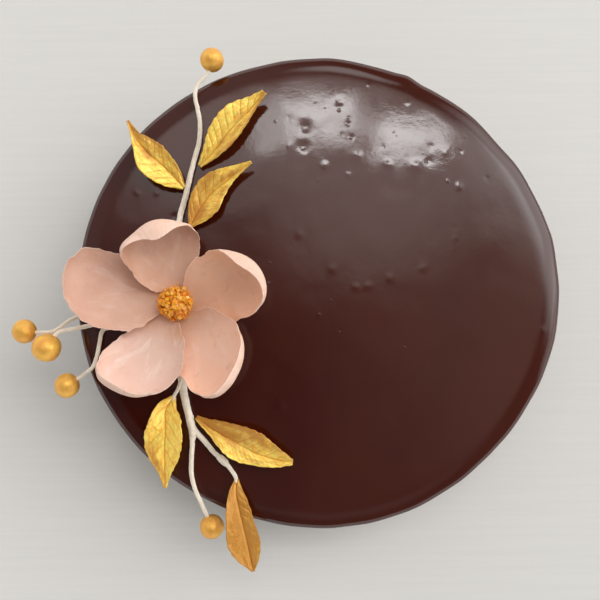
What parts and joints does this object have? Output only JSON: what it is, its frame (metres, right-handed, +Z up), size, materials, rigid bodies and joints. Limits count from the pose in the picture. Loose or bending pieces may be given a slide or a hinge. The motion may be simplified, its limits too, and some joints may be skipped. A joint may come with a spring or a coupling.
{
  "type": "sachertorte cake",
  "caption": "Low round chocolate cake under a glossy dark glaze, with an open sugar flower, gold leaves and gold berries on taped wires along its left side.",
  "frame": {"origin": "centre of the cake's round flat underside, on the surface that it stands on", "axes": "+Z up out of the cake's flat top; -X towards the side that carries the flower and its stems; +Y towards the stem that ends in the single berry at the back"},
  "size_m": [0.2688, 0.2532, 0.088],
  "materials": {
    "glaze": "poured dark chocolate glaze, glossy, with small bubbles and dimples",
    "petal_paste": "matte sugar paste, dusted, pale at the edges",
    "pollen": "amber sugar grains",
    "gold_leaf": "pearly gold lustre on veined sugar leaves",
    "gold_berry": "satin gold lustre on sugar balls",
    "tape": "cream paper tape wound on wire, matte and wrinkled"
  },
  "bodies": {
    "root": {"cake": "glaze", "calyx": "tape", "petal_left": "petal_paste", "petal_top": "petal_paste", "petal_right": "petal_paste", "petal_lower_right": "petal_paste", "petal_lower_left": "petal_paste", "flower_centre": "pollen", "leaf_upper_left": "gold_leaf", "leaf_upper_right": "gold_leaf", "leaf_middle_right": "gold_leaf", "leaf_lower_left": "gold_leaf", "leaf_lower_right": "gold_leaf", "leaf_bottom": "gold_leaf", "berry_top": "gold_berry", "berry_left_1": "gold_berry", "berry_left_2": "gold_berry", "berry_left_3": "gold_berry", "berry_bottom": "gold_berry", "stem_upper": "tape", "stem_lower": "tape", "stem_lower_berry": "tape", "stem_lower_leaf": "tape", "stalk_leaf_lower_left": "tape", "wire_left_1": "tape", "wire_left_2": "tape", "wire_left_3": "tape"}
  },
  "joints": []
}
